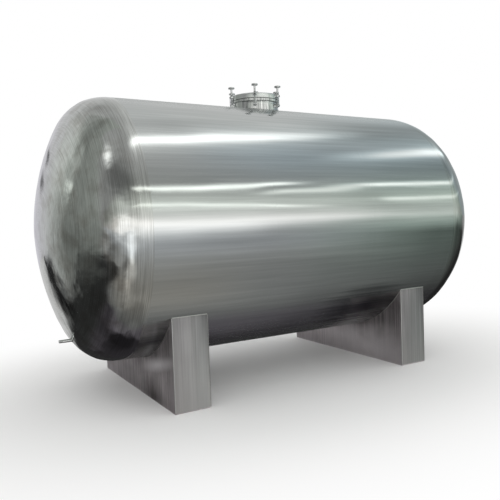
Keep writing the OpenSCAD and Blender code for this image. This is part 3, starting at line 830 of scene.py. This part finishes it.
    # black flags low at the outlet's end, a narrow one beside them and small ones
    edge = -18.5 + 9 * smooth(turn, 138, 146) - 6 * smooth(turn, 160, 190) - 8 * smooth(turn, 198, 222)
    low = 44 + 12 * bell(turn, 142, 18) - 17 * smooth(turn, 166, 182)
    flag = smooth(edge - e, -1.5, 3.0) * (1 - smooth(-e, low, low + 9)) * plateau(turn, 101, 110, 205, 228)
    dusk = 0.020 + 0.070 * smooth(e + 5 * smooth(turn, 158, 195), -20, -7)
    dusk += 0.02 * smooth(-e, 30, 45) * (1 - 0.7 * bell(turn, 150, 14))
    lum += (dusk - lum) * 0.97 * flag
    lum += sum(patchOf(turn, e, glint) for glint in flagGlints)
    wide = smooth(-e, 8, 17)
    narrow = plateau(turn, 99 + 3.5 * wide, 105 + 4 * wide, 118 + 2 * wide, 125 + 6 * wide)
    lum *= 1 - 0.96 * narrow * plateau(-e, 3.8, 8.8, 18, 26)
    for spot in smallFlags:
        lum *= 1 - patchOf(turn, e, spot)
    lum += 0.03 * smooth(-e, 76, 84)
    # slightly coloured cloths, each with what it adds to red, green and blue
    around = np.degrees(np.arctan2(dz, -dy))  # 0 level at the camera's side, 90 straight up
    plain = 1 - 0.7 * smooth(lum, 0.35, 0.75)  # the lamps stay white
    left, far = 1 - smooth(dx, 0.36, 0.52), smooth(dx, 0.50, 0.76)
    green = far * bell(around, -5, 55) * plain * (1 - 0.6 * bell(around, 16, 16))
    cloths = ((bell(around, 66, 26) * smooth(dx, 0.30, 0.55) * plain, (-0.10, 0.01, 0.09)),  # blue, high up
              (smooth(around, 75, 95) * far, (-0.07, 0.02, 0.05)),
              (green, (-0.10, 0.10, -0.005)),  # at the right
              (bell(around, 24, 16), (0.0, 0.03, -0.02)),
              (bell(around, 5, 8), (0.025, -0.015, -0.01)),
              (bell(around, -14, 12) * (1 - far), (-0.03, -0.01, 0.04)),
              (left * front * bell(around, -58, 26), (0.055, 0.0, -0.065)),  # warm, low at the left
              (smooth(-dz, 0.5, 0.75) * smooth(dy, -0.12, 0.1), (0.02, -0.08, 0.06)),  # violet, below
              (plateau(turn, 106, 142, 168, 186) * smooth(e, -26, -8), (-0.015, 0.032, -0.02)),
              (bell(turn, 96, 24) * bell(e, 0, 22), (-0.015, -0.03, 0.045)))
    tint = 1 + sum(share[..., None] * np.array(hue) for share, hue in cloths)
    return lum[..., None] * tint


# reflector tent: a ball round the tank, point = middle + radius * direction, with the light of its direction
lat, lon = np.meshgrid(np.radians(np.linspace(-90, 90, stage["rows"])),
                       np.radians(np.linspace(-180, 180, stage["cols"], endpoint=False)), indexing="ij")
way = np.stack([np.cos(lat) * np.cos(lon), np.cos(lat) * np.sin(lon), np.sin(lat)], -1).reshape(-1, 3)
dome = makePiece("reflectorTent", way * stage["domeRadius"] + np.array([0, 0, tank["axisZ"]]),
                 gridFaces(stage["rows"], stage["cols"], wrapCols=True))
domeTone = lightSet(*way.T)

# pale sheet on the floor behind the tank and past its far end: it is darker at the tank's foot, a painted
# shadow of the tank, brightens from there to the tone of the wall, is paler towards the outlet's end, and
# fades to the dark floor at its left and near edges
sheet = {"across": 91, "deep": 81, "near": 1.15, "depth": 12, "forward": 1.45, "left": -2.9, "slant": 0.30,
         "right": 15, "dark": 0.02}
sheetU, sheetV = np.meshgrid(*(np.linspace(0, 1, sheet[key]) for key in ("across", "deep")), indexing="ij")
sheetY = sheet["near"] + sheet["depth"] * sheetV ** 1.6
sheetY -= sheet["forward"] * smooth(sheetU, 0.30, 0.36) * (1 - sheetV) ** 2
sheetLeft = sheet["left"] - sheet["slant"] * (sheetY - 1.4)
sheetX = sheetLeft + (sheet["right"] - sheetLeft) * sheetU
backSheet = makePiece("backSheet", np.stack([sheetX, sheetY, 0 * sheetX], -1).reshape(-1, 3),
                      gridFaces(sheet["across"], sheet["deep"]))
sheetTone = (0.20 + 0.18 * smooth(-sheetX, 0.4, 1.8)) * (0.45 + 0.55 * smooth(sheetY, 1.1, 2.2))
sheetTone += (0.40 - sheetTone) * smooth(np.hypot(sheetX * 0.8, sheetY), 4, 9.5)
nearFade = np.where(sheetX > 2, smooth(sheetY, -0.2, 2.4), smooth(sheetY, 1.1, 1.6))
sheetTone = sheet["dark"] + (sheetTone - sheet["dark"]) * smooth(sheetX - sheetLeft, 0.1, 0.9) * nearFade

tentMat, tentTree, tentSurface = newTree("tentCloth")
glow = addNode(tentTree, "ShaderNodeVertexColor", {"layer_name": "glow"})
light = addNode(tentTree, "ShaderNodeEmission", {"Strength": 1.0}, {"Color": glow.outputs["Color"]})
tentTree.links.new(light.outputs["Emission"], tentSurface)
tentMat.cycles.emission_sampling = "NONE"
for cloth, tone in ((dome, domeTone), (backSheet, sheetTone.reshape(-1, 1))):  # both show only in the steel
    colour = np.ones((len(tone), 4), np.float32)
    colour[:, :3] = tone / stage["steel"]
    layer = cloth.data.color_attributes.new("glow", "FLOAT_COLOR", "POINT")
    layer.data.foreach_set("color", colour.ravel())
    cloth.data.materials.append(tentMat)
    cloth.visible_camera = cloth.visible_diffuse = cloth.visible_shadow = cloth.visible_transmission = False
    cloth.visible_volume_scatter = False

world = bpy.data.worlds.new("whiteRoom")
world.use_nodes = True
background = world.node_tree.nodes["Background"].inputs
background["Color"].default_value = (1, 1, 1, 1)
background["Strength"].default_value = 1.0
bpy.context.scene.world = world

# angles in radians: yaw from the y axis towards x, pitch down, roll about the view
camera = {"place": (-2.93227, -4.82493, 1.43652), "yaw": 0.5292, "pitch": 0.0509, "roll": -0.0357,
          "lens": 41.162, "sensor": 36.0}
(cosYaw, sinYaw), (cosPitch, sinPitch), (cosRoll, sinRoll) = (
    (math.cos(camera[key]), math.sin(camera[key])) for key in ("yaw", "pitch", "roll"))
ahead = Vector((sinYaw * cosPitch, cosYaw * cosPitch, -sinPitch))
rightward = Vector((cosYaw, -sinYaw, 0))
upward = rightward.cross(ahead)
camData = bpy.data.cameras.new("camera")
camData.lens, camData.sensor_width = camera["lens"], camera["sensor"]
cam = bpy.data.objects.new("camera", camData)
facing = Matrix((cosRoll * rightward + sinRoll * upward, cosRoll * upward - sinRoll * rightward, -ahead))
cam.matrix_world = Matrix.Translation(camera["place"]) @ facing.transposed().to_4x4()
bpy.context.scene.collection.objects.link(cam)
bpy.context.scene.camera = cam
bpy.context.scene.view_settings.view_transform = "Standard"
print("stage and camera set")
